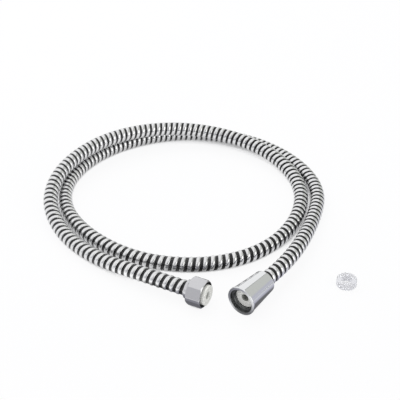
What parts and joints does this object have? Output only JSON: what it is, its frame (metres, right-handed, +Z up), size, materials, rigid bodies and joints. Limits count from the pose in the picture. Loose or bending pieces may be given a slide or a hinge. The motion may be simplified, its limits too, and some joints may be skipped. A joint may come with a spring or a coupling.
{
  "type": "shower hose",
  "caption": "Flexible ribbed shower hose in loose turns, with a hexagon nut on one end, a long cone nut on the other and a loose sealing washer.",
  "frame": {"origin": "on the floor, at the middle of the whole lay's footprint", "axes": "+Z up; +Y away from the viewer of the picture, both nuts lie towards -Y; +X to the viewer's right, where the loose washer lies"},
  "size_m": [0.2949, 0.3045, 0.0304],
  "materials": {
    "silver_pvc": "bright silver helical strip under clear glossy PVC, black in the grooves",
    "yarn": "white polyester yarn",
    "tube_pvc": "plain milky PVC",
    "insert_plastic": "satin greyish white moulded plastic",
    "ferrule_steel": "satin",
    "ring_plastic": "satin",
    "chrome": "mirror chrome plate on brass",
    "clear_silicone": "clear, slightly milky silicone"
  },
  "bodies": {
    "hose": {"ribbed_cover": "silver_pvc", "reinforcement_braid": "yarn", "inner_tube": "tube_pvc", "tap_insert": "insert_plastic", "handset_insert": "insert_plastic", "tap_ferrule": "ferrule_steel", "handset_ferrule": "ferrule_steel", "sealing_washer": "clear_silicone"},
    "tap_ring": {"tap_slip_ring": "ring_plastic"},
    "tap_nut": {"hex_nut": "chrome"},
    "handset_ring": {"handset_slip_ring": "ring_plastic"},
    "handset_nut": {"cone_nut": "chrome"}
  },
  "joints": [
    {"name": "tap_nut_slide", "type": "slide", "parent": "hose", "child": "tap_ring", "axis": [0.8909, -0.4542, 0], "range_m": [-0.01, 0.0103]},
    {"name": "tap_nut_spin", "type": "hinge", "parent": "tap_ring", "child": "tap_nut", "pos_m": [0.0104, -0.132, 0.012], "axis": [0.8909, -0.4542, 0], "continuous": true},
    {"name": "handset_nut_slide", "type": "slide", "parent": "hose", "child": "handset_ring", "axis": [-0.6219, -0.7831, 0], "range_m": [-0.012, 0.0024]},
    {"name": "handset_nut_spin", "type": "hinge", "parent": "handset_ring", "child": "handset_nut", "pos_m": [0.0474, -0.1364, 0.0139], "axis": [-0.6219, -0.7831, 0], "continuous": true}
  ]
}
